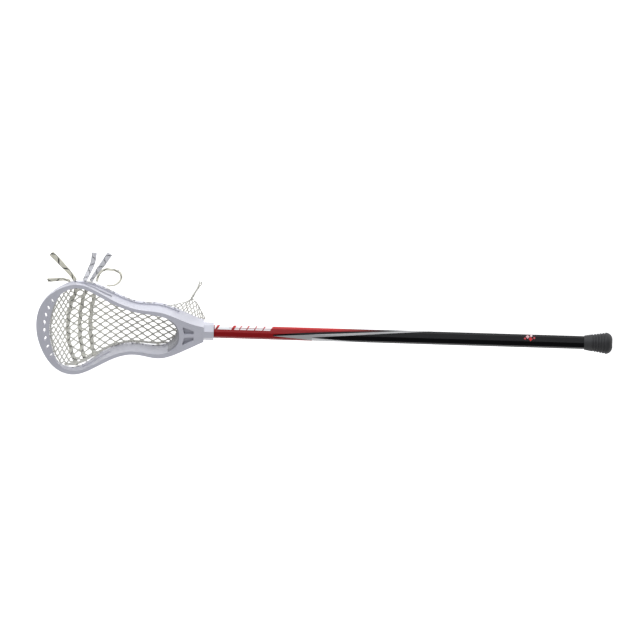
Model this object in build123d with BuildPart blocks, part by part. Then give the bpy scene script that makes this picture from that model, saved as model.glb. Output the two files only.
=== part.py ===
# Lacrosse stick: a strung plastic head on a hollow eight-sided shaft with a rubber butt cap.
# X runs along the shaft from the butt (-X) to the scoop (+X), and Z is up, out of the open face.
# The origin is under the middle of the stick, on the surface that the head's back rails rest on.
import os
from math import pi, radians, tan

from build123d import *

os.makedirs("parts", exist_ok=True)

# Driving dimensions, in mm
exposed_shaft = 667.0  # shaft that shows between cap and head
shaft_flats = 21.8  # across flats
shaft_wall = 1.2
shaft_corner = 0.8
cap_depth = 45.0  # shaft inside the cap
cap_end = 6.0  # rubber beyond the shaft
cap_mouth_radius = 13.0
cap_collar_radius = 15.3
cap_flare_radius = 19.3
cap_rings = 5
ring_groove = 1.3
sleeve_length = 14.0
dome_length = 12.0
butt_flat_radius = 7.0
socket_depth = 50.0  # shaft inside the head
socket_wall = 3.9
collar_length = 18.0
throat_length = 44.0
bowl_length = 258.0  # ball stop to the tip of the scoop
bowl_half_width = 90.8
neck_half_width = 45.6  # narrowest stretch of the bowl
rim_width = 6.6
scoop_width = 24.0
rail_height = 7.0
web_inset = 2.6  # how far the side walls stand in between their rails
face_at_stop = 25.0  # face rim above the shaft axis
face_at_bowl = 8.5
scoop_rise = 10.5
tip_drop = 8.0
back_at_stop = 16.5  # back rail below the shaft axis
back_depth = 31.0
string_hole = 4.4
string_hole_count = 11
slot_length = 9.0
slot_width = 3.2
slot_pitch = 15.6
stop_pad = 3.0
pad_drop = 9.0  # foam below the shaft axis
pad_reach = 20.0  # foam along the bowl
screw_length = 9.0
screw_radius = 1.75
screw_head_radius = 3.6
screw_head_height = 2.4
screw_from_end = 12.0  # from the end of the socket
mesh_thickness = 2.0
string_radius = 1.4
lace_width = 8.5
lace_thickness = 1.6
tail_radius = 2.5
thin_radius = 1.6
flap_thickness = 2.4
flap_rise = 4  # of the flap where it passes under the throat

# Clearances
shaft_gap = 0.15  # shaft in the head's socket
cap_gap = 0.1  # cap on the shaft
string_gap = 0.5  # between a string and what it lies beside
screw_gap = 0.1
floor_gap = 2.4  # under the flap and the string ends, where the stick dips to its cap

# Places that follow from them
overall_length = cap_end + cap_depth + exposed_shaft + collar_length + throat_length + bowl_length
butt_x = -overall_length / 2
cap_mouth_x = butt_x + cap_end + cap_depth
collar_x = cap_mouth_x + exposed_shaft
throat_x = collar_x + collar_length
stop_x = throat_x + throat_length
tip_x = stop_x + bowl_length
axis_z = back_depth
collar_flats = shaft_flats + 2 * shaft_gap + 2 * socket_wall
screw_x = collar_x + socket_depth - screw_from_end
screw_seat_z = axis_z - collar_flats / 2 + 1.6
tall = 2 * axis_z + 2 * face_at_stop


def octagon(flats):
    """Regular octagon in the current sketch, two of its flats level."""
    RegularPolygon(flats / 2, 8, major_radius=False, rotation=22.5)


def along(share):
    """Place along the bowl, as a share of its length from the ball stop."""
    return stop_x + share * bowl_length


def height(above_axis):
    return axis_z + above_axis


def both_sides(points):
    """One side's points, and then the other side's in the opposite order."""
    return points + [(x, -y) for x, y in reversed(points) if y > 0]


def inset(edge, point, distance):
    """The point that lies a distance inside the outline at one of its points."""
    direction = edge.tangent_at(edge.param_at_point(Vector(*point)))
    return (point[0] + direction.Y * distance, point[1] - direction.X * distance)


def corner_radii(points):
    """For each corner of a route, 0.45 of its shorter run over the tangent of half the turn."""
    radii = []
    for before, corner, after in zip(points, points[1:], points[2:]):
        run_in = Vector(*corner) - Vector(*before)
        run_out = Vector(*after) - Vector(*corner)
        half_turn = radians(run_in.get_angle(run_out)) / 2
        radii.append(0.45 * min(run_in.length, run_out.length) / tan(half_turn))
    return radii


def beside_bowl(share, steps):
    """Route from the wall of the bowl at a share of its length, in steps out from its widest line."""
    return [(along(share) + dx, -bowl_half_width - dy, z) for dx, dy, z in steps]


def behind_throat(steps):
    """Route or outline beside the narrowest part of the head, in steps from the ball stop."""
    return [(stop_x + dx, -neck_half_width - dy, *z) for dx, dy, *z in steps]


# Outline of the head from above, one side, from the throat to the tip of the scoop
waist = neck_half_width
outline_points = [
    (throat_x, collar_flats / 2),
    (along(-0.016), 0.7 * waist),
    (along(0.14), waist + 0.7),
    (along(0.29), waist),
    (along(0.427), 0.6 * bowl_half_width),
    (along(0.582), 0.845 * bowl_half_width),
    (along(0.727), bowl_half_width),
    (along(0.847), 0.893 * bowl_half_width),
    (along(0.944), 0.595 * bowl_half_width),
    (along(0.986), 0.31 * bowl_half_width),
    (tip_x, 0),
]
outline_edge = Edge.make_spline([Vector(*point) for point in both_sides(outline_points)])
# How far the inside of the rim lies in from each of the outline's points past the throat
rim_insets = [rim_width + 1.2, rim_width, rim_width, rim_width, rim_width + 0.8]
rim_insets += [0.42 * scoop_width, 0.78 * scoop_width, 0.95 * scoop_width, scoop_width]


def cavity_points(margin):
    """Inside of the rim, drawn in by a further margin."""
    points = [(stop_x + margin, 0), (stop_x + margin + 0.06 * bowl_length, 0.68 * waist - margin)]
    for point, distance in zip(outline_points[2:], rim_insets):
        points.append(inset(outline_edge, point, distance + margin))
    return points


# Side view of the head: the face rim above and the back rails below
face_points = [
    (throat_x, height(collar_flats / 2)),
    (along(0.02), height(face_at_stop)),
    (along(0.155), height(face_at_stop - 2)),
    (along(0.27), height((face_at_stop + face_at_bowl) / 2 - 1.5)),
    (along(0.39), height(face_at_bowl)),
    (along(0.56), height(face_at_bowl - 0.5)),
    (along(0.74), height(scoop_rise)),
    (along(0.85), height(scoop_rise)),
    (along(0.93), height(3)),
    (tip_x, height(-tip_drop)),
]
back_points = [
    (throat_x, height(-collar_flats / 2)),
    (along(0.0), height(-back_at_stop)),
    (along(0.19), height(-back_at_stop - 1.5)),
    (along(0.31), height(-0.78 * back_depth)),
    (along(0.44), height(-back_depth)),
    (along(0.56), height(-0.87 * back_depth)),
    (along(0.67), height(-0.42 * back_depth)),
    (along(0.77), height(-4)),
    (along(0.88), height(0.5)),
    (along(0.94), height(-4.5)),
    (tip_x, height(-tip_drop - 3.5)),
]

with BuildPart() as cavity:
    with BuildSketch(Plane.XY):
        with BuildLine():
            Spline(*both_sides(cavity_points(0)), periodic=True)
        make_face()
    extrude(amount=tall)

with BuildPart() as pocket_room:
    with BuildSketch(Plane.XY):
        with BuildLine():
            Spline(*both_sides(cavity_points(2 * string_radius + 2 * string_gap)), periodic=True)
        make_face()
    extrude(amount=tall)

# Between the rails the walls' outer faces stand in
with BuildPart() as web_room:
    with BuildSketch(Plane.XY):
        with BuildLine():
            web = Spline(*both_sides([inset(outline_edge, point, web_inset) for point in outline_points]))
            Line(web @ 1, web @ 0)
        make_face()
    extrude(amount=tall)

with BuildPart() as web_band:
    with BuildSketch(Plane.XZ):
        with BuildLine():
            upper = Spline(*[(x, z - rail_height) for x, z in face_points[1:7]])
            lower = Spline(*[(x, z + rail_height) for x, z in back_points[1:7]])
            Line(upper @ 0, lower @ 0)
            Line(upper @ 1, lower @ 1)
        make_face()
    extrude(amount=bowl_half_width + rim_width, both=True)

hole_line = Edge.make_spline([Vector(x, 0, z + rail_height / 2) for x, z in back_points[1:8]])

with BuildPart() as head_frame:
    with BuildSketch(Plane.XY):
        with BuildLine():
            rim = Spline(*both_sides(outline_points))
            Line(rim @ 1, rim @ 0)
        make_face()
    extrude(amount=tall)
    with BuildSketch(Plane.XZ):
        with BuildLine():
            face_line = Spline(*face_points)
            back_line = Spline(*back_points)
            Line(face_line @ 0, back_line @ 0)
            Line(face_line @ 1, back_line @ 1)
        make_face()
    extrude(amount=bowl_half_width + rim_width, both=True, mode=Mode.INTERSECT)
    add(cavity.part, mode=Mode.SUBTRACT)
    add(web_band.part - web_room.part, mode=Mode.SUBTRACT)
    # Collar that the shaft enters
    with BuildSketch(Plane.YZ.offset(collar_x)):
        with Locations((0, axis_z)):
            octagon(collar_flats)
    extrude(amount=collar_length + 1)
    fillet(head_frame.faces().sort_by(Axis.X)[0].edges(), 1.0)
    with BuildSketch(Plane.YZ.offset(collar_x)):
        with Locations((0, axis_z)):
            octagon(shaft_flats + 2 * shaft_gap)
    extrude(amount=socket_depth + shaft_gap, mode=Mode.SUBTRACT)
    # Hollows in the face of the throat, either side of its rib
    with BuildSketch(Plane.XY.offset(height(collar_flats / 2))):
        with BuildLine():
            Polyline(
                (along(-0.10), 3.0),
                (along(-0.035), 3.0),
                (along(-0.02), 0.42 * waist),
                (along(-0.10), 0.2 * waist),
                close=True,
            )
        make_face()
        mirror(about=Plane.XZ)
        fillet(vertices(), 1.2)
    extrude(amount=tall, mode=Mode.SUBTRACT)
    # Long window through each side wall
    with BuildSketch(Plane.XZ):
        with Locations(Location((along(0.575), height(-7.5)), 12)):
            SlotOverall(0.2 * bowl_length, rail_height)
    extrude(amount=bowl_half_width + rim_width, both=True, mode=Mode.SUBTRACT)
    # Holes that the side strings lace through, along the back rails
    for number in range(string_hole_count):
        place = hole_line.position_at((number + 0.5) / string_hole_count)
        with BuildSketch(Plane.XZ):
            with Locations((place.X, place.Z)):
                Circle(string_hole / 2)
        extrude(amount=bowl_half_width + rim_width, both=True, mode=Mode.SUBTRACT)
    # Slots through the scoop
    for number in range(8):
        across = (number - 3.5) * slot_pitch
        drop = 0.42 * across * across / bowl_half_width
        turn = -90 - 57 * across / bowl_half_width
        with BuildSketch(Plane.XY):
            with Locations(Location((tip_x - 0.62 * scoop_width - drop, across), turn)):
                SlotOverall(slot_length, slot_width)
        extrude(amount=tall, mode=Mode.SUBTRACT)
    # Screw hole from the back of the throat, with a seat for the screw's head
    with Locations((screw_x, 0, 0)):
        Cylinder(screw_head_radius + 3 * screw_gap, 2 * screw_seat_z, mode=Mode.SUBTRACT)
        Cylinder(screw_radius + screw_gap, 2 * axis_z, mode=Mode.SUBTRACT)
head_frame.part.label = "head_frame"


# Foam pad against the ball stop
with BuildPart() as pad_room:
    with BuildSketch(Plane.XY):
        with BuildLine():
            Spline(*both_sides(cavity_points(stop_pad)), periodic=True)
        make_face()
    extrude(amount=tall)

with BuildPart() as ball_stop:
    add(cavity.part)
    add(pad_room.part, mode=Mode.SUBTRACT)
    pad_height = face_at_stop - 4 + pad_drop
    with Locations((stop_x, 0, height(face_at_stop - 4 - pad_height / 2))):
        Box(2 * pad_reach, 2 * waist, pad_height, mode=Mode.INTERSECT)
ball_stop.part.label = "ball_stop"

# Screw from the back of the throat into the shaft's lower wall
with BuildPart() as head_screw:
    with BuildSketch(Plane.XY.offset(screw_seat_z - screw_head_height)):
        with Locations((screw_x, 0)):
            Circle(screw_head_radius)
    extrude(amount=screw_head_height)
    with BuildSketch(Plane.XY.offset(screw_seat_z)):
        with Locations((screw_x, 0)):
            Circle(screw_radius)
    extrude(amount=screw_length)
    chamfer(head_screw.edges().group_by(Axis.Z)[0], 0.6)
    chamfer(head_screw.edges().group_by(Axis.Z)[-1], 0.8)
    with BuildSketch(Plane.XY.offset(screw_seat_z - screw_head_height)):
        with Locations((screw_x, 0)):
            Rectangle(0.6 * screw_head_radius * 2, 1.0)
            Rectangle(1.0, 0.6 * screw_head_radius * 2)
    extrude(amount=0.6 * screw_head_height, mode=Mode.SUBTRACT)
head_screw.part.label = "head_screw"

# Hollow shaft, from the rubber of the cap's end to the end of the head's socket
shaft_length = cap_depth + exposed_shaft + socket_depth
with BuildPart() as shaft:
    with BuildSketch(Plane.YZ.offset(butt_x + cap_end)):
        with Locations((0, axis_z)):
            octagon(shaft_flats)
    extrude(amount=shaft_length)
    fillet(shaft.edges().filter_by(Axis.X), shaft_corner)
    with BuildSketch(Plane.YZ.offset(butt_x + cap_end)):
        with Locations((0, axis_z)):
            octagon(shaft_flats - 2 * shaft_wall)
    extrude(amount=shaft_length, mode=Mode.SUBTRACT)
    with BuildSketch(Plane.XY):
        with Locations((screw_x, 0)):
            Circle(screw_radius + screw_gap)
    extrude(amount=axis_z, mode=Mode.SUBTRACT)
shaft.part.label = "shaft"

# Rubber cap: a sleeve, a collar, rings that flare, and a domed end with a small flat
sleeve_end_x = cap_mouth_x - sleeve_length
ring_end_x = butt_x + dome_length
ring_pitch = (sleeve_end_x - ring_end_x) / cap_rings
with BuildPart() as end_cap:
    with BuildSketch(Plane.XZ):
        with BuildLine():
            Polyline(
                (butt_x, height(0)),
                (butt_x, height(butt_flat_radius)),
            )
            SagittaArc(
                (butt_x, height(butt_flat_radius)),
                (ring_end_x, height(cap_flare_radius)),
                0.28 * dome_length,
            )
            Polyline(
                (ring_end_x, height(cap_flare_radius)),
                (sleeve_end_x, height(cap_collar_radius)),
                (cap_mouth_x, height(cap_mouth_radius)),
                (cap_mouth_x, height(0)),
                (butt_x, height(0)),
            )
        make_face()
        for ring in range(cap_rings):
            share = (ring + 0.5) / cap_rings
            ring_radius = cap_flare_radius + share * (cap_collar_radius - cap_flare_radius)
            with Locations((ring_end_x + (ring + 0.5) * ring_pitch, height(ring_radius + 0.15))):
                Circle(ring_groove, mode=Mode.SUBTRACT)
    revolve(axis=Axis((0, 0, axis_z), (1, 0, 0)))
    with BuildSketch(Plane.YZ.offset(butt_x + cap_end)):
        with Locations((0, axis_z)):
            octagon(shaft_flats + 2 * cap_gap)
            fillet(vertices(), shaft_corner)
    extrude(amount=cap_depth, mode=Mode.SUBTRACT)
end_cap.part.label = "end_cap"

# The pocket hangs between the back rails: for each place along the bowl, the height of its
# edge and of its middle from the shaft axis, and how far out the cross-section is drawn
hammock_sections = [
    (0.0, -12.5, -14.0, 0.7 * waist),
    (0.14, -14.5, -21.0, waist),
    (0.29, -18.0, -27.0, waist),
    (0.427, -25.0, 0.8 - back_depth, 0.6 * bowl_half_width),
    (0.582, -0.7 * back_depth, -29.0, 0.845 * bowl_half_width),
    (0.727, -8.0, -17.0, bowl_half_width),
    (0.847, -1.5, -5.0, 0.893 * bowl_half_width),
    (0.944, -0.5, -0.8, 0.8 * bowl_half_width),
]


def hammock(lift, thickness):
    """Sheet of even height that hangs through the bowl, lifted off the pocket's underside."""
    with BuildPart() as sheet:
        for share, edge, middle, reach in hammock_sections:
            with BuildSketch(Plane.YZ.offset(along(share))):
                with BuildLine():
                    low, high = lift, lift + thickness
                    under = ThreePointArc(
                        (-reach, height(edge + low)), (0, height(middle + low)), (reach, height(edge + low))
                    )
                    over = ThreePointArc(
                        (-reach, height(edge + high)), (0, height(middle + high)), (reach, height(edge + high))
                    )
                    Line(under @ 0, over @ 0)
                    Line(under @ 1, over @ 1)
                make_face()
        loft()
    return sheet.part


with BuildPart() as pocket_mesh:
    add(hammock(0, mesh_thickness))
    add(pocket_room.part, mode=Mode.INTERSECT)
pocket_mesh.part.label = "pocket_mesh"

# Strings round the edge of the pocket: one rim of cord, cut at the throat and at the scoop
with BuildPart() as string_room:
    with BuildSketch(Plane.XY):
        with BuildLine():
            Spline(*both_sides(cavity_points(string_gap)), periodic=True)
        make_face()
        with BuildLine():
            Spline(*both_sides(cavity_points(string_gap + 2 * string_radius)), periodic=True)
        make_face(mode=Mode.SUBTRACT)
    extrude(amount=tall)

with BuildPart() as string_rim:
    add(hammock(0, 2 * string_radius))
    add(string_room.part, mode=Mode.INTERSECT)

string_stretches = {
    "bottom_string": (along(-0.05), along(0.05) - string_gap, -bowl_half_width, bowl_half_width),
    "left_sidewall_string": (along(0.05), along(0.86) - string_gap, 0, bowl_half_width),
    "right_sidewall_string": (along(0.05), along(0.86) - string_gap, -bowl_half_width, 0),
    "top_string": (along(0.86), tip_x, -bowl_half_width, bowl_half_width),
}
edge_strings = []
for name, (start_x, end_x, low_y, high_y) in string_stretches.items():
    with BuildPart() as edge_string:
        add(string_rim.part)
        with Locations(((start_x + end_x) / 2, (low_y + high_y) / 2, tall / 2)):
            Box(end_x - start_x, high_y - low_y, tall, mode=Mode.INTERSECT)
    edge_string.part.label = name
    edge_strings.append(edge_string.part)

# Shooting laces cross the pocket just above the mesh, bowed towards the scoop
lace_places = [(0.709, 0.779), (0.65, 0.696), (0.587, 0.621)]
lace_layer = hammock(mesh_thickness + string_gap, lace_thickness)
shooting_laces = []
for number, (end_share, middle_share) in enumerate(lace_places, start=1):
    with BuildPart() as lace:
        with BuildSketch(Plane.XY):
            with BuildLine():
                bow = ThreePointArc(
                    (along(end_share), -bowl_half_width),
                    (along(middle_share), 0),
                    (along(end_share), bowl_half_width),
                )
            trace(bow, line_width=lace_width)
        extrude(amount=tall)
        add(lace_layer, mode=Mode.INTERSECT)
        add(pocket_room.part, mode=Mode.INTERSECT)
    lace.part.label = f"shooting_lace_{number}"
    shooting_laces.append(lace.part)

# Corners of the spare mesh from above
flap_corners = [
    (24, -7.6),
    (6, -3.1),
    (-12, -1.9),
    (-19.5, 1.9),
    (-30, -3.6),
    (-36, -16.6),
    (-44, -27.6),
    (-47, -39.6),
    (-31, -50.6),
    (1, -54.6),
    (17, -37.6),
]

# Spare mesh that hangs out behind the throat and lies beside it
with BuildPart() as mesh_flap:
    with BuildSketch(Plane.XZ):
        with BuildLine():
            Polyline(
                (stop_x - 51, floor_gap),
                (stop_x - 17, floor_gap),
                (stop_x - 1, floor_gap + flap_rise),
                (stop_x + 29, floor_gap + flap_rise),
                (stop_x + 29, floor_gap + flap_rise + flap_thickness),
                (stop_x - 2, floor_gap + flap_rise + flap_thickness),
                (stop_x - 18, floor_gap + flap_thickness),
                (stop_x - 51, floor_gap + flap_thickness),
                close=True,
            )
        make_face()
    extrude(amount=bowl_half_width, both=True)
    with BuildSketch(Plane.XY):
        with BuildLine():
            Polyline(*behind_throat(flap_corners), close=True)
        make_face()
        fillet(vertices(), 2.5)
    extrude(amount=tall, mode=Mode.INTERSECT)
mesh_flap.part.label = "mesh_flap"

# Free ends of the laces and strings, as routes from the head's back rail down to the floor
tail_routes = {
    "lace_tail_1": (
        tail_radius,
        beside_bowl(
            0.736,
            [
                (0.11, 2.7, 26),
                (5.61, 7.7, 21.5),
                (13.61, 14.2, 14.5),
                (24.11, 22.2, 7.8),
                (34.11, 31.8, 5.2),
                (45.11, 42.2, 4.9),
            ],
        ),
    ),
    "lace_tail_2": (
        tail_radius,
        beside_bowl(
            0.775,
            [
                (0.05, 2.6, 28),
                (7.55, 0.2, 21.5),
                (17.65, -4.3, 13.5),
                (28.35, -8.8, 7.4),
                (40.05, -10.8, 4.9),
            ],
        ),
    ),
    "lace_tail_3": (
        tail_radius,
        beside_bowl(
            0.669,
            [
                (0, -0.8, 20),
                (-3.3, 5.7, 14),
                (-8, 14, 8.6),
                (-12.3, 23.1, 5.6),
                (-14.6, 34.5, 4.9),
                (-15.6, 46.6, 5),
            ],
        ),
    ),
    "lace_tail_4": (
        tail_radius,
        beside_bowl(
            0.626,
            [
                (-0.11, -4, 13.5),
                (-5.81, 4.2, 9),
                (-12.71, 13.2, 6),
                (-20.51, 24.4, 5),
                (-26.21, 34.3, 4.9),
                (-32.51, 45, 5),
            ],
        ),
    ),
    "string_loop": (
        thin_radius,
        beside_bowl(
            0.585,
            [
                (0.07, -9.3, 8),
                (-1.43, 0.2, 5.5),
                (-6.43, 9.2, 4),
                (-14.93, 14.2, 4.1),
                (-24.93, 13.2, 4),
                (-34.93, 11.8, 4),
                (-42.93, 6.2, 4.1),
                (-44.33, -3.3, 4),
                (-38.93, -13.8, 4),
                (-28.43, -19.3, 4.2),
                (-17.93, -18.3, 5),
            ],
        ),
    ),
    "flap_tail": (
        thin_radius,
        behind_throat(
            [
                (-20, 4.9, 4.6),
                (-23, 11.4, 4.1),
                (-27, 19.4, 4),
                (-32, 28.9, 4.1),
                (-37.1, 40.4, 4),
            ],
        ),
    ),
}
tails = []
for name, (radius, route) in tail_routes.items():
    radii = corner_radii(route)
    with BuildPart() as tail:
        with BuildLine() as path:
            FilletPolyline(*route, radius=radii)
        with BuildSketch(Plane(origin=path.line @ 0, z_dir=path.line % 0)):
            Circle(radius)
        sweep()
    section = pi * radius * radius
    print(name, "radii", [round(value, 1) for value in radii])
    run_length = sum(edge.length for edge in path.edges())
    print(name, "length", round(run_length, 1), "volume over section", round(tail.part.volume / section, 1))
    tail.part.label = name
    tails.append(tail.part)

pieces = [head_frame.part, ball_stop.part, head_screw.part, shaft.part, end_cap.part]
pieces += [pocket_mesh.part, mesh_flap.part] + edge_strings + shooting_laces + tails
for piece in pieces:
    export_step(piece, f"parts/{piece.label}.step")
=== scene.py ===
from math import cos, pi, radians, sin

import bpy
import numpy as np
from mathutils import Matrix, Vector

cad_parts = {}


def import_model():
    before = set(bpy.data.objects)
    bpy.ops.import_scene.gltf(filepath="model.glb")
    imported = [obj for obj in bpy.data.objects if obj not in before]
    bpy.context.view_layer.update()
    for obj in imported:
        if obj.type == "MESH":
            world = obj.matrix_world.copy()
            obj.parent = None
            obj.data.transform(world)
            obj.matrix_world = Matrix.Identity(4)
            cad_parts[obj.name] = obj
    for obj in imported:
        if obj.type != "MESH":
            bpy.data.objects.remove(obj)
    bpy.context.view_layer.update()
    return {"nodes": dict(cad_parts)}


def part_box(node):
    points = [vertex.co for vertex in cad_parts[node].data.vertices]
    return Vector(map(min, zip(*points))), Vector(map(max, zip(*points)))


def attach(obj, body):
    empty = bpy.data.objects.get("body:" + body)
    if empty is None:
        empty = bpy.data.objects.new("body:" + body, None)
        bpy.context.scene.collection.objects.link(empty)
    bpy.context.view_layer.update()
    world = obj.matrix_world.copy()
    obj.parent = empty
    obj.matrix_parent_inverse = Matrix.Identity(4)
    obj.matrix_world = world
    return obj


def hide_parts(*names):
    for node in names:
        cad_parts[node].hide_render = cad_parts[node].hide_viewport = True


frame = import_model()
nodes = frame["nodes"]
mm = 0.001

headLow, headHigh = [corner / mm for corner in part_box("head_frame")]
shaftLow, shaftHigh = [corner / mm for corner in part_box("shaft")]
stopLow, stopHigh = [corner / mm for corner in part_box("ball_stop")]
axisZ = (shaftLow.z + shaftHigh.z) / 2
stopX, tipX, collarX = stopLow.x, headHigh.x, headLow.x
bowlLength = tipX - stopX
bowlHalf = headHigh.y
print("frame loaded, bowl", round(bowlLength), "mm long")


def along(share):
    return stopX + share * bowlLength


def cubicAt(knots, values, where):
    # cubic between neighbouring knots, the bends agreeing at each knot and gone at both ends
    knots, values, where = np.asarray(knots, float), np.asarray(values, float), np.asarray(where, float)
    table = values.reshape(len(knots), -1)
    gap = np.diff(knots)
    inner = np.arange(1, len(knots) - 1)
    system, right = np.eye(len(knots)), np.zeros_like(table)
    system[inner, inner - 1], system[inner, inner + 1] = gap[:-1], gap[1:]
    system[inner, inner] = 2 * (gap[:-1] + gap[1:])
    right[inner] = 6 * np.diff(np.diff(table, axis=0) / gap[:, None], axis=0)
    bend = np.linalg.solve(system, right)
    flat = np.clip(where.ravel(), knots[0], knots[-1])
    cell = np.clip(np.searchsorted(knots, flat, side="right") - 1, 0, len(knots) - 2)
    step = gap[cell][:, None]
    a = (knots[cell + 1] - flat)[:, None] / step
    b = 1 - a
    out = a * table[cell] + b * table[cell + 1]
    out += ((a**3 - a) * bend[cell] + (b**3 - b) * bend[cell + 1]) * step * step / 6
    return out.reshape(where.shape + values.shape[1:])


def chordKnots(points):
    steps = np.linalg.norm(np.diff(np.asarray(points, float), axis=0), axis=1)
    return np.concatenate([[0], np.cumsum(steps)])


def smooth(low, high, value):
    share = np.clip((value - low) / (high - low), 0, 1)
    return share * share * (3 - 2 * share)


def gridFaces(rows, columns, closedRows=False, closedColumns=False):
    # four-sided faces between neighbouring rows and columns, with each corner's place on the grid
    i, j = np.meshgrid(np.arange(rows - (not closedRows)), np.arange(columns - (not closedColumns)), indexing="ij")
    i, j = i.ravel(), j.ravel()
    corners = np.stack([np.stack([i, i, i + 1, i + 1], 1), np.stack([j, j + 1, j + 1, j], 1)], 2)
    return (corners[..., 0] % rows) * columns + corners[..., 1] % columns, corners


def turnedOut(points, faces):
    # the volume that the faces hold about their middle is positive when they look outwards
    points = points - points.mean(axis=0)
    a, b, c, d = [points[faces[:, k]] for k in range(4)]
    volume = np.einsum("ij,ij->", a, np.cross(b, c)) + np.einsum("ij,ij->", a, np.cross(c, d))
    return volume >= 0


def makePiece(name, points, faces, caps=(), uv=None, sharp=None):
    points = np.asarray(points, float).reshape(-1, 3)
    if not turnedOut(points, faces):
        faces = faces[:, ::-1]
        caps = [cap[::-1] for cap in caps]
        uv = None if uv is None else uv[:, ::-1]
    mesh = bpy.data.meshes.new(name)
    mesh.from_pydata((points * mm).tolist(), [], faces.tolist() + [list(map(int, cap)) for cap in caps])
    if uv is not None:
        layer = mesh.uv_layers.new(name="UVMap")
        flat = np.zeros((len(mesh.loops), 2))
        flat[: uv.shape[0] * 4] = uv.reshape(-1, 2)
        layer.data.foreach_set("uv", flat.ravel())
    mesh.polygons.foreach_set("use_smooth", np.ones(len(mesh.polygons), bool))
    if sharp:
        mesh.set_sharp_from_angle(angle=radians(sharp))
    mesh.validate()
    piece = bpy.data.objects.new(name, mesh)
    bpy.context.scene.collection.objects.link(piece)
    return piece


def finishPiece(piece, material, stands=(), body="stick"):
    piece.data.materials.clear()
    piece.data.materials.append(material)
    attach(piece, body)
    if stands:
        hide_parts(*stands)


def carried(paths, width, thick, sides=8, square=1.0, twist=0.0, swell=None):
    # a closed oval carried along each path: across the path by half the width, off it by half the thickness
    paths = np.asarray(paths, float)
    paths = paths[None] if paths.ndim == 2 else paths
    count, length = paths.shape[:2]
    ahead = np.gradient(paths, axis=1)
    ahead /= np.linalg.norm(ahead, axis=2, keepdims=True) + 1e-9
    across = np.cross(ahead, [0.0, 0.0, 1.0])
    across /= np.linalg.norm(across, axis=2, keepdims=True) + 1e-9
    off = np.cross(across, ahead)
    turn = np.broadcast_to(np.asarray(twist, float), (count, length))[..., None]
    across, off = np.cos(turn) * across + np.sin(turn) * off, np.cos(turn) * off - np.sin(turn) * across
    angle = np.arange(sides) * 2 * pi / sides
    ring = np.stack([np.cos(angle), np.sin(angle)], 1)
    ring = np.sign(ring) * np.abs(ring) ** square
    scale = np.ones((count, length)) if swell is None else np.broadcast_to(swell, (count, length))
    sideways = across[:, :, None] * ring[None, None, :, :1] * width / 2
    upward = off[:, :, None] * ring[None, None, :, 1:] * thick / 2
    points = paths[:, :, None] + scale[..., None, None] * (sideways + upward)
    faces, corners = gridFaces(length, sides, closedColumns=True)
    starts = np.arange(count) * length * sides
    distance = np.concatenate(
        [np.zeros((count, 1)), np.cumsum(np.linalg.norm(np.diff(paths, axis=1), axis=2), axis=1)], axis=1
    )
    uv = np.stack(
        [np.broadcast_to(corners[..., 1] / sides, (count,) + corners.shape[:2]), distance[:, corners[..., 0]]], -1
    )
    caps = [np.arange(sides)[::-1] + start for start in starts]
    caps += [np.arange(sides) + start + (length - 1) * sides for start in starts]
    faces = (faces[None] + starts[:, None, None]).reshape(-1, 4)
    return points.reshape(-1, 3), faces, caps, uv.reshape(-1, 4, 2)


# node helpers


def newMaterial(name, colour, roughness, **extras):
    material = bpy.data.materials.new(name)
    material.use_nodes = True
    tree = material.node_tree
    shader = tree.nodes["Principled BSDF"]
    shader.inputs["Base Color"].default_value = (*colour, 1)
    shader.inputs["Roughness"].default_value = roughness
    for socket, value in extras.items():
        shader.inputs[socket.replace("_", " ")].default_value = value
    return material, tree, shader


def calculator(tree):
    def calc(operation, *values):
        node = tree.nodes.new("ShaderNodeMath")
        node.operation = operation
        for socket, value in zip(node.inputs, values):
            if isinstance(value, (int, float)):
                socket.default_value = value
            else:
                tree.links.new(value, socket)
        return node.outputs[0]

    return calc


def noiseFrom(tree, vector, scale, detail=3.0, rough=0.6):
    node = tree.nodes.new("ShaderNodeTexNoise")
    node.inputs["Scale"].default_value = scale
    node.inputs["Detail"].default_value = detail
    node.inputs["Roughness"].default_value = rough
    tree.links.new(vector, node.inputs["Vector"])
    return node.outputs["Fac"]


def stretched(tree, vector, scale):
    node = tree.nodes.new("ShaderNodeMapping")
    node.inputs["Scale"].default_value = scale
    tree.links.new(vector, node.inputs["Vector"])
    return node.outputs["Vector"]


def mixed(tree, factor, first, second):
    node = tree.nodes.new("ShaderNodeMix")
    node.data_type = "RGBA"
    tree.links.new(factor, node.inputs[0])
    for socket, value in ((node.inputs[6], first), (node.inputs[7], second)):
        if isinstance(value, tuple):
            socket.default_value = (*value, 1)
        else:
            tree.links.new(value, socket)
    return node.outputs[2]


def spread(tree, value, low, high):
    node = tree.nodes.new("ShaderNodeMapRange")
    node.inputs["To Min"].default_value = low
    node.inputs["To Max"].default_value = high
    tree.links.new(value, node.inputs["Value"])
    return node.outputs["Result"]


def bumped(tree, shader, height, strength, distance):
    node = tree.nodes.new("ShaderNodeBump")
    node.inputs["Strength"].default_value = strength
    node.inputs["Distance"].default_value = distance
    tree.links.new(height, node.inputs["Height"])
    tree.links.new(node.outputs["Normal"], shader.inputs["Normal"])


def objectPlace(tree):
    return tree.nodes.new("ShaderNodeTexCoord").outputs["Object"]


# moulded nylon: faint clouding, fine satin grain, a few long scuffs
nylon = {"pale": (0.58, 0.58, 0.635), "deep": (0.49, 0.49, 0.54), "roughness": (0.26, 0.42)}


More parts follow.
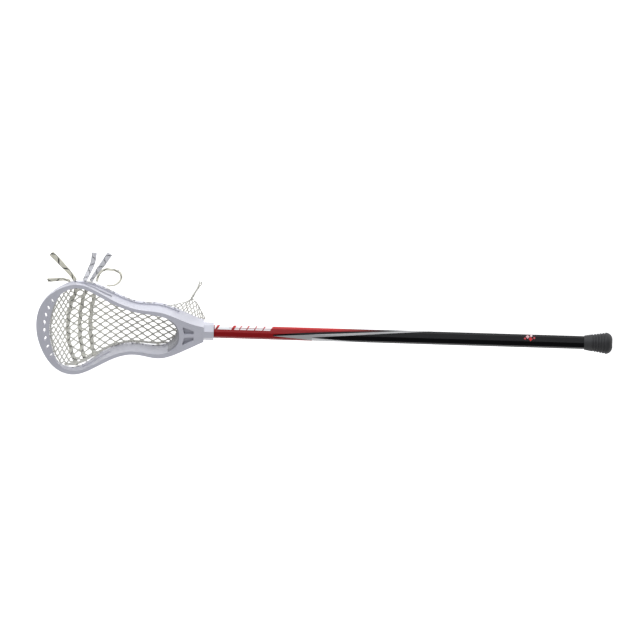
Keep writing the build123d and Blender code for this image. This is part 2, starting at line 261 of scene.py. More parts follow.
def nylonMaterial():
    material, tree, shader = newMaterial("mouldedNylon", nylon["pale"], 0.34, Coat_Weight=0.25, Coat_Roughness=0.18)
    place = objectPlace(tree)
    cloud = noiseFrom(tree, place, 22.0, 4.0)
    grain = noiseFrom(tree, place, 1400.0, 2.0)
    scuff = noiseFrom(tree, stretched(tree, place, (18.0, 260.0, 260.0)), 1.0, 5.0)
    tree.links.new(mixed(tree, cloud, nylon["deep"], nylon["pale"]), shader.inputs["Base Color"])
    tree.links.new(spread(tree, scuff, *nylon["roughness"]), shader.inputs["Roughness"])
    calc = calculator(tree)
    bumped(tree, shader, calc("ADD", calc("MULTIPLY", grain, 0.4), calc("MULTIPLY", scuff, 0.6)), 0.12, 0.0002)
    return material


# cord: a twisted lay from the piece's own map, whose second number is millimetres along it
cordLook = {"pale": (0.82, 0.81, 0.74), "deep": (0.52, 0.515, 0.455)}


def cordMaterial(name, pale, deep, lay=1.1):
    material, tree, shader = newMaterial(name, pale, 0.82, Sheen_Weight=0.25, Sheen_Roughness=0.6)
    calc = calculator(tree)
    separate = tree.nodes.new("ShaderNodeSeparateXYZ")
    tree.links.new(tree.nodes.new("ShaderNodeUVMap").outputs["UV"], separate.inputs[0])
    turn = calc("MULTIPLY", separate.outputs[0], 4 * pi)
    run = calc("MULTIPLY", separate.outputs[1], 2 * pi / lay)
    strand = calc("ABSOLUTE", calc("SINE", calc("ADD", turn, run)))
    place = objectPlace(tree)
    dirt = noiseFrom(tree, place, 60.0, 4.0)
    fuzz = noiseFrom(tree, place, 2600.0, 2.0)
    # painted shade: the cord is darker in the grooves between its strands, with darker and lighter patches of dirt
    # from the noise on top
    grooveShadeAndDirt = calc("MULTIPLY", calc("POWER", strand, 0.6), spread(tree, dirt, 0.6, 1.15))
    tree.links.new(mixed(tree, grooveShadeAndDirt, deep, pale), shader.inputs["Base Color"])
    bumped(tree, shader, calc("ADD", strand, calc("MULTIPLY", fuzz, 0.5)), 0.5, 0.0003)
    return material


# flat woven lace with a dark tracer thread that wanders from edge to edge
laceLook = {"pale": (0.80, 0.79, 0.70), "deep": (0.50, 0.49, 0.42), "tracer": (0.012, 0.012, 0.014)}


def laceMaterial(name, pale, deep, tracerPitch=15.0, tracerWidth=0.16, dashes=0.35):
    material, tree, shader = newMaterial(name, pale, 0.86, Sheen_Weight=0.3, Sheen_Roughness=0.5)
    calc = calculator(tree)
    separate = tree.nodes.new("ShaderNodeSeparateXYZ")
    tree.links.new(tree.nodes.new("ShaderNodeUVMap").outputs["UV"], separate.inputs[0])
    around, run = separate.outputs[0], separate.outputs[1]
    # across is 0 at one edge and 1 at the other on both faces of the lace
    across = calc("MULTIPLY", calc("ABSOLUTE", calc("SUBTRACT", around, 0.5)), 2.0)
    wander = calc("MULTIPLY_ADD", calc("PINGPONG", calc("DIVIDE", run, tracerPitch), 1.0), 0.7, 0.15)
    onTracer = calc("LESS_THAN", calc("ABSOLUTE", calc("SUBTRACT", across, wander)), tracerWidth / 2)
    stitch = calc("FRACT", calc("DIVIDE", run, 2.6))
    tracer = calc("MULTIPLY", onTracer, calc("GREATER_THAN", stitch, dashes))
    ribs = calc("ABSOLUTE", calc("SINE", calc("MULTIPLY", run, pi / 0.55)))
    plait = calc("ABSOLUTE", calc("SINE", calc("ADD", calc("MULTIPLY", across, 5 * pi), calc("MULTIPLY", run, 1.9))))
    weave = calc("MULTIPLY_ADD", plait, 0.6, calc("MULTIPLY", ribs, 0.4))
    dirt = noiseFrom(tree, objectPlace(tree), 75.0, 4.0)
    # painted shade: the lace is darker in the valleys of its weave and lighter on its ridges, with real dirt from
    # the noise on top
    clothShadeAndDirt = mixed(tree, calc("MULTIPLY", weave, spread(tree, dirt, 0.65, 1.2)), deep, pale)
    tree.links.new(mixed(tree, tracer, clothShadeAndDirt, laceLook["tracer"]), shader.inputs["Base Color"])
    bumped(tree, shader, calc("ADD", weave, calc("MULTIPLY", tracer, 0.6)), 0.6, 0.0003)
    return material


# painted shaft: x runs along it in millimetres, and q is 1 along its lit edge and -1 along the far one
paint = {
    "red": (0.27, 0.010, 0.012), "redLitHighlight": (0.50, 0.020, 0.022), "silver": (0.44, 0.44, 0.435),
    "black": (0.0025, 0.0025, 0.003), "white": (0.80, 0.80, 0.80), "tilt": (0.891, 0.454), "reach": 11.8,
}


def shaftMaterial():
    material, tree, shader = newMaterial(
        "paintedShaft", paint["black"], 0.35, Coat_Weight=0.03, Coat_Roughness=0.08, Specular_IOR_Level=0.06
    )
    calc = calculator(tree)
    place = objectPlace(tree)
    separate = tree.nodes.new("ShaderNodeSeparateXYZ")
    tree.links.new(place, separate.inputs[0])
    x = calc("MULTIPLY", separate.outputs[0], 1000.0)
    lean = calc("MULTIPLY", separate.outputs[1], paint["tilt"][0] * 1000)
    rise = calc("MULTIPLY", calc("SUBTRACT", separate.outputs[2], axisZ * mm), paint["tilt"][1] * 1000)
    q = calc("MULTIPLY", calc("ADD", lean, rise), -1 / paint["reach"])

    def line(start, slope, fromX):
        return calc("MULTIPLY_ADD", calc("MAXIMUM", calc("SUBTRACT", fromX, x), 0.0), slope, start)

    def above(edge):
        return calc("GREATER_THAN", q, edge)

    def below(edge):
        return calc("LESS_THAN", q, edge)

    def before(limit):
        return calc("LESS_THAN", x, limit)

    def after(limit):
        return calc("GREATER_THAN", x, limit)

    def both(first, *others):
        for other in others:
            first = calc("MULTIPLY", first, other)
        return first

    upper = line(-0.45, 0.00577, 92.0)  # top of the silver
    arch = calc("DIVIDE", calc("SUBTRACT", x, 20.0), 135.0)
    arch = calc("MAXIMUM", calc("SUBTRACT", 1.0, calc("MULTIPLY", arch, arch)), 0.0)
    redEdge = calc("MULTIPLY_ADD", calc("MULTIPLY", arch, before(92.0)), 0.33, upper)
    taper = line(-0.45, -0.0065, 92.0)  # under side of the silver where it opens
    lower = line(-0.5, 0.00708, 22.0)
    tail = line(-0.55, -0.005, 22.0)
    fade = tree.nodes.new("ShaderNodeMapRange")
    fade.inputs["From Min"].default_value = -125.0
    fade.inputs["From Max"].default_value = -20.0
    tree.links.new(x, fade.inputs["Value"])
    fade = fade.outputs["Result"]
    # painted highlight: the red turns lighter towards the lit edge of the shaft, where q nears 1
    paintedTopHighlight = calc("SMOOTH_MIN", calc("MAXIMUM", calc("MULTIPLY_ADD", q, 2.4, -1.1), 0.0), 1.0, 0.1)
    cloudy = noiseFrom(tree, stretched(tree, place, (9.0, 90.0, 90.0)), 1.0, 3.0)
    redTone = mixed(tree, paintedTopHighlight, paint["red"], paint["redLitHighlight"])
    redTone = mixed(tree, spread(tree, cloudy, -0.15, 0.4), redTone, (0.16, 0.006, 0.008))
    redTone = mixed(tree, fade, paint["black"], redTone)
    colour = mixed(tree, both(above(redEdge), fade), paint["black"], redTone)
    openSilver = both(below(upper), above(taper), after(22.0), before(92.0))
    bandSilver = both(below(upper), above(lower), before(22.0))
    brushed = noiseFrom(tree, stretched(tree, place, (30.0, 900.0, 900.0)), 1.0, 2.0)
    silverTone = mixed(tree, brushed, (0.33, 0.33, 0.33), paint["silver"])
    colour = mixed(tree, calc("MAXIMUM", openSilver, bandSilver), colour, silverTone)
    foot = both(below(tail), before(22.0), after(-72.0))
    colour = mixed(tree, foot, colour, (0.62, 0.62, 0.62))
    underRed = both(below(taper), after(22.0))
    colour = mixed(tree, underRed, colour, redTone)
    # pale band by the head, broken by plain slanting gaps
    slant = calc("MULTIPLY_ADD", q, 7.0, x)
    band = both(above(0.33), calc("GREATER_THAN", slant, 100.0), before(197.5))
    for centre, halfWidth in ((192.5, 2.2), (163.0, 2.6), (151.0, 1.0), (138.0, 1.2), (124.0, 1.0), (109.0, 1.1)):
        gap = calc("GREATER_THAN", calc("ABSOLUTE", calc("SUBTRACT", slant, centre + 4.5)), halfWidth)
        band = calc("MULTIPLY", band, gap)
    stripe = calc("GREATER_THAN", calc("ABSOLUTE", calc("SUBTRACT", q, 0.60)), 0.035)
    band = calc("MULTIPLY", band, calc("MAXIMUM", stripe, calc("GREATER_THAN", slant, 176.0)))
    colour = mixed(tree, band, colour, paint["white"])
    # small plain diamonds near the grip end
    for centreX, centreQ, size, tone in (
        (-371.5, 0.30, 3.8, (0.55, 0.03, 0.035)), (-366.0, 0.62, 3.6, (0.62, 0.35, 0.37)),
        (-372.5, 0.80, 2.6, (0.70, 0.55, 0.56)), (-378.0, 0.48, 2.2, (0.55, 0.10, 0.11)),
        (-361.5, 0.34, 2.2, (0.60, 0.06, 0.07)),
    ):
        sideways = calc("ABSOLUTE", calc("SUBTRACT", x, centreX))
        upways = calc("MULTIPLY", calc("ABSOLUTE", calc("SUBTRACT", q, centreQ)), paint["reach"])
        colour = mixed(tree, calc("LESS_THAN", calc("ADD", sideways, upways), size), colour, tone)
    tree.links.new(colour, shader.inputs["Base Color"])
    wear = noiseFrom(tree, stretched(tree, place, (60.0, 500.0, 500.0)), 1.0, 4.0)
    tree.links.new(spread(tree, wear, 0.16, 0.36), shader.inputs["Roughness"])
    bumped(tree, shader, noiseFrom(tree, place, 1800.0, 2.0), 0.04, 0.0001)
    return material


def rubberMaterial():
    material, tree, shader = newMaterial("capRubber", (0.014, 0.014, 0.015), 0.55)
    place = objectPlace(tree)
    dust = noiseFrom(tree, place, 90.0, 5.0)
    grain = noiseFrom(tree, place, 1600.0, 2.0)
    tree.links.new(mixed(tree, dust, (0.009, 0.009, 0.010), (0.030, 0.030, 0.031)), shader.inputs["Base Color"])
    tree.links.new(spread(tree, dust, 0.42, 0.75), shader.inputs["Roughness"])
    bumped(tree, shader, grain, 0.25, 0.0002)
    return material


def foamMaterial():
    material, tree, shader = newMaterial("stopFoam", (0.42, 0.42, 0.44), 0.95)
    cells = tree.nodes.new("ShaderNodeTexVoronoi")
    cells.inputs["Scale"].default_value = 900.0
    tree.links.new(objectPlace(tree), cells.inputs["Vector"])
    # painted shade: the foam is darker in the pits at its cell centres, where the bump is lowest
    tree.links.new(
        mixed(tree, cells.outputs["Distance"], (0.30, 0.30, 0.315), (0.50, 0.50, 0.52)), shader.inputs["Base Color"]
    )
    bumped(tree, shader, cells.outputs["Distance"], 0.7, 0.0004)
    return material


def steelMaterial():
    material, tree, shader = newMaterial("screwSteel", (0.55, 0.55, 0.56), 0.3, Metallic=1.0)
    turned = noiseFrom(tree, stretched(tree, objectPlace(tree), (3000.0, 3000.0, 200.0)), 1.0, 2.0)
    tree.links.new(spread(tree, turned, 0.2, 0.45), shader.inputs["Roughness"])
    bumped(tree, shader, turned, 0.1, 0.0001)
    return material


nylonFinish = nylonMaterial()
meshFinish = cordMaterial("netCord", cordLook["pale"], cordLook["deep"])
stringFinish = cordMaterial("edgeString", (0.80, 0.79, 0.74), (0.48, 0.475, 0.44), lay=1.6)
laceFinish = laceMaterial("shootingLace", laceLook["pale"], laceLook["deep"])
tailFinish = laceMaterial(
    "laceEnd", (0.86, 0.84, 0.71), (0.60, 0.58, 0.47), tracerPitch=19.0, tracerWidth=0.13, dashes=0.0
)
greyTailFinish = laceMaterial(
    "laceEndGrey", (0.80, 0.80, 0.82), (0.52, 0.52, 0.54), tracerPitch=13.0, tracerWidth=0.14
)
print("finishes made")


# free ends of the laces, in metres, as they lie beside the head
cords = {
    "laceEndA": dict(
        node="lace_tail_1", width=10.5, thick=1.3, length=0.0651, twist=(0.5, 0.1), finish=tailFinish,
        route=[(0.4505, -0.0918, 0.0265), (0.4565, -0.0985, 0.0215), (0.4645, -0.1050, 0.0140),
               (0.4750, -0.1130, 0.0068), (0.4850, -0.1226, 0.0030), (0.4960, -0.1330, 0.0022)],
    ),
    "laceEndB": dict(
        node="lace_tail_2", width=8.0, thick=1.5, length=0.0490, twist=(0.35, 0.2), finish=tailFinish,
        route=[(0.4600, -0.0915, 0.0285), (0.4685, -0.0910, 0.0215), (0.4786, -0.0865, 0.0130),
               (0.4893, -0.0820, 0.0072), (0.5010, -0.0800, 0.0050)],
    ),
    "laceEndC": dict(
        node="lace_tail_3", width=9.0, thick=1.3, length=0.0545, twist=(0.5, -0.15), finish=greyTailFinish,
        route=[(0.4340, -0.0890, 0.0200), (0.4303, -0.0965, 0.0140), (0.4256, -0.1048, 0.0086),
               (0.4213, -0.1139, 0.0052), (0.4190, -0.1253, 0.0036), (0.4180, -0.1374, 0.0030)],
    ),
    "laceEndD": dict(
        node="lace_tail_4", width=10.0, thick=1.3, length=0.0601, twist=(-0.6, 0.2), finish=greyTailFinish,
        route=[(0.4230, -0.0850, 0.0140), (0.4167, -0.0950, 0.0082), (0.4098, -0.1040, 0.0046),
               (0.4020, -0.1152, 0.0030), (0.3963, -0.1251, 0.0026), (0.3900, -0.1358, 0.0024)],
    ),
    "stringLoop": dict(
        node="string_loop", width=4.4, thick=3.0, length=0.1018, twist=(0.2, 1.0), finish=tailFinish,
        route=[(0.4120, -0.0815, 0.0080), (0.4105, -0.0910, 0.0055), (0.4055, -0.1000, 0.0036),
               (0.3970, -0.1050, 0.0034), (0.3870, -0.1040, 0.0032), (0.3770, -0.1026, 0.0032),
               (0.3690, -0.0970, 0.0034), (0.3676, -0.0875, 0.0034), (0.3730, -0.0770, 0.0034),
               (0.3835, -0.0715, 0.0040), (0.3940, -0.0725, 0.0050)],
    ),
    "netTail": dict(
        node="flap_tail", width=5.0, thick=3.6, length=0.0394, twist=(0.0, 0.0), finish=meshFinish,
        route=[(0.2410, -0.0505, 0.0046), (0.2380, -0.0570, 0.0041), (0.2340, -0.0650, 0.0040),
               (0.2290, -0.0745, 0.0041), (0.2239, -0.0860, 0.0040)],
    ),
}


def lineOf(name, route):
    # the smooth line that a cord follows, read back in millimetres
    curve = bpy.data.curves.new(name + "Line", "CURVE")
    curve.dimensions = "3D"
    spline = curve.splines.new("NURBS")
    spline.points.add(len(route) - 1)
    spline.points.foreach_set("co", np.hstack([np.array(route), np.ones((len(route), 1))]).ravel())
    spline.order_u = 3
    spline.use_endpoint_u = True
    spline.resolution_u = 10
    holder = bpy.data.objects.new(name + "Line", curve)
    bpy.context.scene.collection.objects.link(holder)
    line = bpy.data.meshes.new_from_object(holder)
    places = np.empty(len(line.vertices) * 3)
    line.vertices.foreach_get("co", places)
    bpy.data.objects.remove(holder)
    bpy.data.curves.remove(curve)
    bpy.data.meshes.remove(line)
    return places.reshape(-1, 3) / mm


def knotPiece(name, centre, radius):
    # overhand knot: one closed coil that winds three times round while it goes twice about the middle
    turn = np.linspace(0, 2 * pi, 72, endpoint=False)
    reach = radius * (1 + 0.45 * np.cos(3 * turn))
    path = np.stack([reach * np.cos(2 * turn), reach * np.sin(2 * turn), radius * 0.55 * np.sin(3 * turn)], 1)
    path = np.vstack([path, path[:1] + 0.01]) + centre
    points, faces, caps, uv = carried(path, radius * 0.95, radius * 0.8, sides=10)
    return makePiece(name, points, faces, caps, uv)


for name, cord in cords.items():
    path = lineOf(name, cord["route"])
    run = np.linspace(0, 1, len(path))
    twist = cord["twist"][0] + (cord["twist"][1] - cord["twist"][0]) * smooth(0.0, 1.0, run)
    if name == "netTail":
        # two gathered strands wound round each other, fanning out at the loose end
        wind = run * 2 * pi * 2.2
        spreadOut = 1.5 + 1.3 * smooth(0.75, 1.0, run) - 0.5 * smooth(0.2, 0.5, run) * (1 - smooth(0.6, 0.9, run))
        side = np.cross(np.gradient(path, axis=0), [0, 0, 1.0])
        side /= np.linalg.norm(side, axis=1, keepdims=True)
        strands = []
        for phase in (0.0, 2.1, 4.2):
            offset = side * (spreadOut * np.cos(wind + phase))[:, None]
            offset[:, 2] += 1.1 * np.sin(wind + phase)
            strands.append(path + offset)
        points, faces, caps, uv = carried(np.array(strands), 2.0, 1.7, sides=8)
    else:
        points, faces, caps, uv = carried(path, cord["width"], cord["thick"], sides=20, square=0.55, twist=twist)
    piece = makePiece(name, points, faces, caps, uv)
    finishPiece(piece, cord["finish"], [cord["node"]])
    if name == "stringLoop":
        knot = knotPiece("loopKnot", np.array([375.0, -101.5, 3.8]), 1.7)
        finishPiece(knot, stringFinish)
    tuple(cord["route"][0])
print("free ends laid")


# camera and light
view = {"turn": 1.749, "lean": (0.454, 0.891), "target": (0.0085, -0.0294, 0.0310), "scale": 1.152, "away": 3.0}


def placeCamera():
    turn = radians(view["turn"])
    towards = Vector((0, -view["lean"][0], view["lean"][1]))
    upward = Vector((0, -view["lean"][1], -view["lean"][0]))
    right = Vector((-cos(turn), 0, 0)) + sin(turn) * upward
    up = Vector((sin(turn), 0, 0)) + cos(turn) * upward
    camera = bpy.data.cameras.new("camera")
    camera.type = "ORTHO"
    camera.ortho_scale = view["scale"]
    holder = bpy.data.objects.new("camera", camera)
    place = Vector(view["target"]) + view["away"] * towards
    holder.matrix_world = Matrix(
        [(right[i], up[i], towards[i], place[i]) for i in range(3)] + [(0, 0, 0, 1)]
    )
    bpy.context.scene.collection.objects.link(holder)
    bpy.context.scene.camera = holder


def areaLight(name, place, aim, size, power, colour=(1, 1, 1)):
    lamp = bpy.data.lights.new(name, "AREA")
    lamp.shape = "RECTANGLE"
    lamp.size, lamp.size_y = size
    lamp.energy = power
    lamp.color = colour
    holder = bpy.data.objects.new(name, lamp)
    holder.location = place
    holder.rotation_euler = (Vector(aim) - Vector(place)).to_track_quat("-Z", "Y").to_euler()
    bpy.context.scene.collection.objects.link(holder)


placeCamera()
areaLight("keyLight", (0.35, -2.2, 0.9), (0.3, 0, 0.03), (2.6, 0.9), 34.0, (0.93, 0.95, 1.0))
areaLight("fillLight", (0.2, 1.8, 1.3), (0.2, 0, 0.03), (2.4, 1.2), 12.0)
areaLight("topLight", (0.0, -0.2, 2.4), (0.1, 0, 0.03), (2.8, 1.4), 10.0)
bpy.context.scene.view_settings.view_transform = "Standard"
world = bpy.data.worlds.new("studio")
world.use_nodes = True
world.node_tree.nodes["Background"].inputs["Color"].default_value = (0.93, 0.95, 1.0, 1)
world.node_tree.nodes["Background"].inputs["Strength"].default_value = 0.30
bpy.context.scene.world = world

# the stick lies on its back rails and on its cap, so the floor leans a little to meet both
rest = {"rails": (377.0, -0.05), "cap": (-505.0, 11.60), "half": 4000.0}


def floorPiece():
    slope = (rest["cap"][1] - rest["rails"][1]) / (rest["cap"][0] - rest["rails"][0])
    half = rest["half"]
    points = [(x, y, rest["rails"][1] + slope * (x - rest["rails"][0])) for x, y in
              ((-half, -half), (half, -half), (half, half), (-half, half))]
    mesh = bpy.data.meshes.new("floor")
    mesh.from_pydata([tuple(value * mm for value in point) for point in points], [], [(0, 1, 2, 3)])
    piece = bpy.data.objects.new("floor", mesh)
    bpy.context.scene.collection.objects.link(piece)
    material, tree, shader = newMaterial("paleFloor", (0.9, 0.9, 0.9), 0.9)
    shader.inputs["Emission Color"].default_value = (1, 1, 1, 1)
    shader.inputs["Emission Strength"].default_value = 0.85
    grain = noiseFrom(tree, objectPlace(tree), 6.0)
    tree.links.new(mixed(tree, grain, (0.86, 0.86, 0.86), (0.9, 0.9, 0.9)), shader.inputs["Base Color"])
    mesh.materials.append(material)


floorPiece()
print("camera, lights and floor placed")


# lines of the head that the pocket and its strings follow: shares of the bowl along, and of its half width across
head = {
    "throatX": 217.0, "collarHalf": 14.95, "holes": 11, "holeRise": 3.5,
    "outline": [(-0.016, 0.3515), (0.14, 0.5099), (0.29, 0.5022), (0.427, 0.6), (0.582, 0.845), (0.727, 1.0),
                (0.847, 0.893), (0.944, 0.595), (0.986, 0.31), (1.0, 0.0)],
    "inside": [(0.0, 0.0), (0.06, 0.3415), (0.1433, 0.4246), (0.2911, 0.4296), (0.4372, 0.5334), (0.595, 0.7824),
               (0.7277, 0.9185), (0.8256, 0.8), (0.8815, 0.4902), (0.9006, 0.2454), (0.907, 0.0)],
    "back": [(0.0, -16.5), (0.19, -18.0), (0.31, -24.18), (0.44, -31.0), (0.56, -26.97), (0.67, -13.02),
             (0.77, -4.0), (0.88, 0.5), (0.94, -4.5), (1.0, -11.5)],
}


def bothSides(points):
    return points + [(x, -y) for x, y in reversed(points) if y > 0]


outline = [(head["throatX"], head["collarHalf"])] + [(along(s), w * bowlHalf) for s, w in head["outline"]]
inside = [(along(s), w * bowlHalf) for s, w in head["inside"]]
backLine = np.array([(head["throatX"], -head["collarHalf"])] + [(along(s), h) for s, h in head["back"]])
outlineKnots = chordKnots(bothSides(outline))
insideLoop = bothSides(inside)
insideRing = insideLoop * 3 + insideLoop[:1]
insideKnots = chordKnots(insideRing)


def outerAt(t):
    # t counts the outline's knots from the throat, 0, to the tip, 10
    where = np.interp(t, np.arange(len(outline)), outlineKnots[: len(outline)])
    return cubicAt(outlineKnots, bothSides(outline), where)


def innerAt(t):
    # the same for the inside of the rim, whose line closes on itself
    first = len(insideLoop)
    where = np.interp(t, np.arange(len(inside)), insideKnots[first : first + len(inside)])
    return cubicAt(insideKnots, insideRing, where)


def insideHalf(x):
    # half the width between the walls at each x, from the inside line of the rim
    sample = innerAt(np.linspace(0, 10, 400))
    return np.interp(x, sample[:, 0], sample[:, 1])


backKnots = chordKnots(backLine[1:8])


def holePlaces():
    # equal steps along the back rail, as places along and up
    fine = np.linspace(0, backKnots[-1], 400)
    line = cubicAt(backKnots, backLine[1:8], fine)
    run = chordKnots(line)
    steps = (np.arange(head["holes"]) + 0.5) / head["holes"] * run[-1]
    return np.stack([np.interp(steps, run, line[:, k]) for k in (0, 1)], 1)


for place in nodes["head_frame"].material_slots:
    place.material = nylonFinish
print("head finished")


# pocket: knotted diamonds of cord, hanging between the walls
pocket = {
    "pitch": [(0.0, 12.6), (0.15, 13.0), (0.31, 13.2), (0.44, 13.8), (0.58, 14.8), (0.72, 15.6), (1.0, 15.6)],
    "row": 19.0, "strand": (2.8, 1.7), "margin": 3.0, "columns": 7, "end": 0.907, "samples": 520,
    "flat": (0.165, 0.250), "cordArea": 0.0245,
    "hang": [(0.0, -12.5, -14.0, 31.9), (0.14, -14.5, -21.0, 45.6), (0.29, -18.0, -27.0, 45.6),
             (0.427, -25.0, -30.2, 54.5), (0.582, -21.7, -29.0, 76.7), (0.727, -8.0, -17.0, 90.8),
             (0.847, -1.5, -5.0, 81.1), (0.944, -0.5, -0.8, 72.6)],
}
hang = np.array(pocket["hang"])
pitchLine = np.array(pocket["pitch"])


def hangHeight(x, y):
    # a parabola across the pocket, from its edge height down to its middle height
    share = (np.asarray(x) - stopX) / bowlLength
    edge, middle, reach = [cubicAt(hang[:, 0], hang[:, k], share) for k in (1, 2, 3)]
    return axisZ + middle + (edge - middle) * np.clip(np.abs(y) / reach, 0, 1) ** 2 + 1.0


def wave(turns):
    # three-cornered wave from -1 to 1, flattened at its tops where two cords are knotted
    corner = 2 * np.abs(2 * (turns - np.floor(turns + 0.5))) - 1
    return np.clip(1.35 * corner, -1, 1)


def netStrand(column, hand):
    # swings by a quarter pitch either way, meets its neighbours where the wave turns, and crowds up by the walls
    x = np.linspace(along(0.0), along(pocket["end"]), pocket["samples"])
    share = (x - stopX) / bowlLength
    pitch = np.interp(share, pitchLine[:, 0], pitchLine[:, 1])
    stretch = np.interp(share, [0, 0.72, 0.80, 1], [0, 0, 0.35, 1.3])
    jitter = 1.0 * stretch * np.sin(x / 3.1 + 2.1 * column + 1.4 * hand) + 0.5 * stretch * np.sin(x / 1.9 + column)
    turns = (x - along(0.0)) / pocket["row"] + 18.0 * np.maximum(0, share - 0.76)
    swing = pitch / 4 - pocket["strand"][0] / 2 * 0.8
    y = pitch * (column + 0.25 * hand) + hand * swing * wave(turns) + jitter
    limit = insideHalf(np.clip(x, along(0.1), along(0.727))) - pocket["margin"]
    part = np.abs(y) / limit
    squeezed = np.where(part < 0.86, part, 0.86 + 0.13 * (1 - np.exp(-(part - 0.86) / 0.13)))
    y = np.sign(y) * squeezed * limit
    keep = np.abs(y) <= insideHalf(x) - 1.2
    keep &= (x > stopX + 2.5) & (x < along(pocket["end"]) - 1.5)
    if keep.sum() < 12:
        return None
    first, last = np.argmax(keep), len(keep) - 1 - np.argmax(keep[::-1])
    pick = np.linspace(first, last, 260)
    x, y, turns = [np.interp(pick, np.arange(pocket["samples"]), value) for value in (x, y, turns)]
    ruffled = 0.5 * np.interp((x - stopX) / bowlLength, [0.7, 0.9], [0, 1])
    lift = 0.45 * hand * np.cos(turns * pi) + ruffled * np.sin(x / 2.3 + column)
    swell = 1 + 0.22 * np.exp(-((1 - np.abs(wave(turns))) / 0.25) ** 2)
    return np.stack([x, y, hangHeight(x, y) + lift], 1), swell


def pocketNet():
    paths, swells = [], []
    for column in range(-pocket["columns"], pocket["columns"] + 1):
        for hand in (1, -1):
            strand = netStrand(column, hand)
            if strand is not None:
                paths.append(strand[0])
                swells.append(strand[1])
    return carried(np.array(paths), *pocket["strand"], sides=7, swell=np.array(swells))


points, faces, caps, uv = pocketNet()
netPiece = makePiece("pocketNet", points, faces, caps, uv)
finishPiece(netPiece, meshFinish, ["pocket_mesh"])
print("pocket net knotted,", len(faces), "faces")

# shooting laces woven across the pocket
laces = {
    "shootingLaceOne": dict(node="shooting_lace_1", ends=0.709, middle=0.779),
    "shootingLaceTwo": dict(node="shooting_lace_2", ends=0.650, middle=0.696),
    "shootingLaceThree": dict(node="shooting_lace_3", ends=0.587, middle=0.621),
}
laceCut = {"width": 7.6, "thick": 1.5, "weave": 13.0, "lift": 1.5}
for number, (name, lace) in enumerate(laces.items()):
    run = np.linspace(-1, 1, 241)
    half = float(insideHalf(along(lace["ends"]))) - 2.2
    y = run * half
    x = along(lace["middle"]) + (along(lace["ends"]) - along(lace["middle"])) * run**2
    x = x + 0.7 * np.sin(y / 4.2 + number)
    z = hangHeight(x, y) + 0.4 + laceCut["lift"] * np.sin(y * 2 * pi / laceCut["weave"] + number)
    points, faces, caps, uv = carried(
        np.stack([x, y, z], 1), laceCut["width"], laceCut["thick"], sides=20, square=0.5,
        twist=0.30 + 0.28 * np.sin(y * 2 * pi / laceCut["weave"] + number + 0.8),
    )
    uv[..., 1] += 7.0 * number
    piece = makePiece(name, points, faces, caps, uv)
    finishPiece(piece, laceFinish, [lace["node"]])
print("shooting laces woven")

# strings that tie the pocket to the head
strings = {"radius": 1.15, "whip": 0.7, "inset": 2.4, "core": (2.6, 2.4), "coil": (1.75, 1.6), "corner": 7.35}


def sideString(name, node, hand):
    # a running stitch: in through one hole of the back rail and out through the next
    holes = holePlaces()
    t = np.arange(head["holes"] * 2 - 1) / 2
    x = np.interp(t, np.arange(head["holes"]), holes[:, 0])
    z = np.interp(t, np.arange(head["holes"]), holes[:, 1]) + axisZ + head["holeRise"]
    sample = outerAt(np.linspace(0, 6, 300))
    wallOut = np.interp(x, sample[:, 0], sample[:, 1])
    wallIn = insideHalf(x)
    middle = (wallOut + wallIn) / 2
    swing = (np.arange(len(t)) % 4 == 1) * 1.0 - (np.arange(len(t)) % 4 == 3)
    y = middle + swing * np.where(swing > 0, wallOut - middle + 1.0, middle - wallIn + 1.6)
    fine = np.linspace(0, len(t) - 1, 420)
    path = cubicAt(np.arange(len(t)), np.stack([x, hand * y, z], 1), fine)
    points, faces, caps, uv = carried(path, 2 * strings["radius"], 2 * strings["radius"], sides=10)
    piece = makePiece(name, points, faces, caps, uv)
    finishPiece(piece, stringFinish, [node])


sideString("leftSideString", "left_sidewall_string", 1)
sideString("rightSideString", "right_sidewall_string", -1)
tipT = len(inside) - 1


def scoopLine():
    # the inside of the rim from one corner of the scoop round its tip to the other
    t = np.linspace(strings["corner"], 2 * tipT - strings["corner"], 300)
    return innerAt(np.minimum(t, 2 * tipT - t)) * np.stack([np.ones_like(t), np.where(t > tipT, -1, 1)], 1)


def cordBesideRim(name, node, inner, lift, turns):
    # the rim's line, drawn in towards the pocket, with a thinner cord wound round it
    middle = np.array([along(0.5), 0.0])
    inner = inner + (middle - inner) / np.linalg.norm(middle - inner, axis=1, keepdims=True) * strings["inset"]
    path = np.column_stack([inner, hangHeight(inner[:, 0], inner[:, 1]) + lift])
    main = carried(path, *strings["core"], sides=10)
    wind = np.linspace(0, turns * 2 * pi, 1200)
    pick = np.linspace(0, len(path) - 1, 1200)
    fine = np.stack([np.interp(pick, np.arange(len(path)), path[:, k]) for k in range(3)], 1)
    ahead = np.gradient(fine, axis=0)
    side = np.cross(ahead / np.linalg.norm(ahead, axis=1, keepdims=True), [0, 0, 1.0])
    coil = fine + side * (strings["coil"][0] * np.cos(wind))[:, None]
    coil[:, 2] += strings["coil"][1] * np.sin(wind)
    whip = carried(coil, 2 * strings["whip"], 2 * strings["whip"], sides=6)
    shift = len(main[0])
    points = np.vstack([main[0], whip[0]])
    faces = np.vstack([main[1], whip[1] + shift])
    piece = makePiece(name, points, faces, main[2] + [cap + shift for cap in whip[2]], np.vstack([main[3], whip[3]]))
    finishPiece(piece, stringFinish, [node])


cordBesideRim("topString", "top_string", scoopLine(), 0.6, 34)
t = np.linspace(-0.8, 0.8, 160)
throatLine = innerAt(np.abs(t)) * np.stack([np.ones_like(t), np.sign(t) + (t == 0)], 1)
cordBesideRim("bottomString", "bottom_string", throatLine, 0.6, 16)
print("edge strings tied")


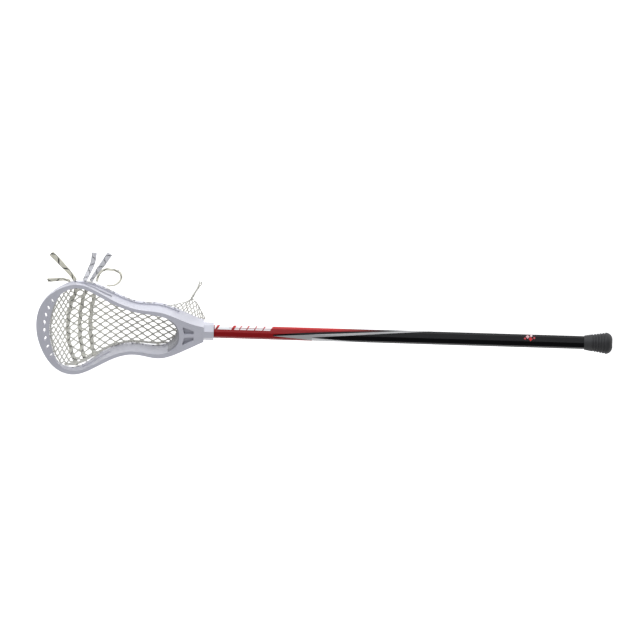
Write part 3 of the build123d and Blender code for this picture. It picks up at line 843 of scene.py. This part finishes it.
# spare net that hangs out behind the throat
flap = {
    "near": [(283.0, -12.0), (262.0, 2.0), (240.0, 6.0), (222.0, 4.0)],
    "far": [(284.0, -37.0), (262.0, -43.0), (249.0, -45.5), (240.5, -50.0), (231.0, -43.0), (223.5, -29.0),
            (215.0, -12.0)],
    "columns": 9, "rows": 4, "strand": (2.1, 1.5), "flat": (0.070, 0.056), "cordArea": 0.0026,
}


def flapPlace(a, b):
    # straight lines from the edge under the throat to the loose edge; it steps down to lie by the floor
    near, far = np.array(flap["near"]), np.array(flap["far"])
    start = cubicAt(np.linspace(0, 1, len(near)), near, a)
    end = cubicAt(np.linspace(0, 1, len(far)), far, a)
    plan = start + (end - start) * b[..., None]
    z = 3.4 + 4.4 * smooth(244, 262, plan[..., 0]) + 0.5 * np.sin(a * 23) * b
    return np.concatenate([plan, z[..., None]], axis=-1)


def flapNet():
    paths = []
    b = np.linspace(0.0, 1.0, 120)
    for column in range(flap["columns"]):
        for hand in (1, -1):
            middle = (column + 0.5 + 0.25 * hand) / flap["columns"]
            a = middle + hand * 0.22 / flap["columns"] * wave(b * flap["rows"])
            a = a + 0.006 * np.sin(b * 9 + 2.3 * column)
            paths.append(flapPlace(np.clip(a, 0, 1), b))
    points, faces, caps, uv = carried(np.array(paths), *flap["strand"], sides=7)
    # the gathered edge, a cord through the outer knots
    a = np.linspace(0, 1, 160)
    edge = flapPlace(a, np.full(160, 1.0) - 0.03 * np.abs(np.sin(a * pi * flap["columns"])))
    rim = carried(edge, 1.9, 1.5, sides=8)
    shift = len(points)
    return (np.vstack([points, rim[0]]), np.vstack([faces, rim[1] + shift]),
            caps + [cap + shift for cap in rim[2]], np.vstack([uv, rim[3]]))


points, faces, caps, uv = flapNet()
flapPiece = makePiece("spareNet", points, faces, caps, uv)
finishPiece(flapPiece, meshFinish, ["mesh_flap"])
print("spare net laid")

# pieces that keep their CAD shape
for node, material in (
    ("shaft", shaftMaterial()), ("end_cap", rubberMaterial()),
    ("ball_stop", foamMaterial()), ("head_screw", steelMaterial()),
):
    for place in nodes[node].material_slots:
        place.material = material
print("shaft, cap, foam and screw finished")
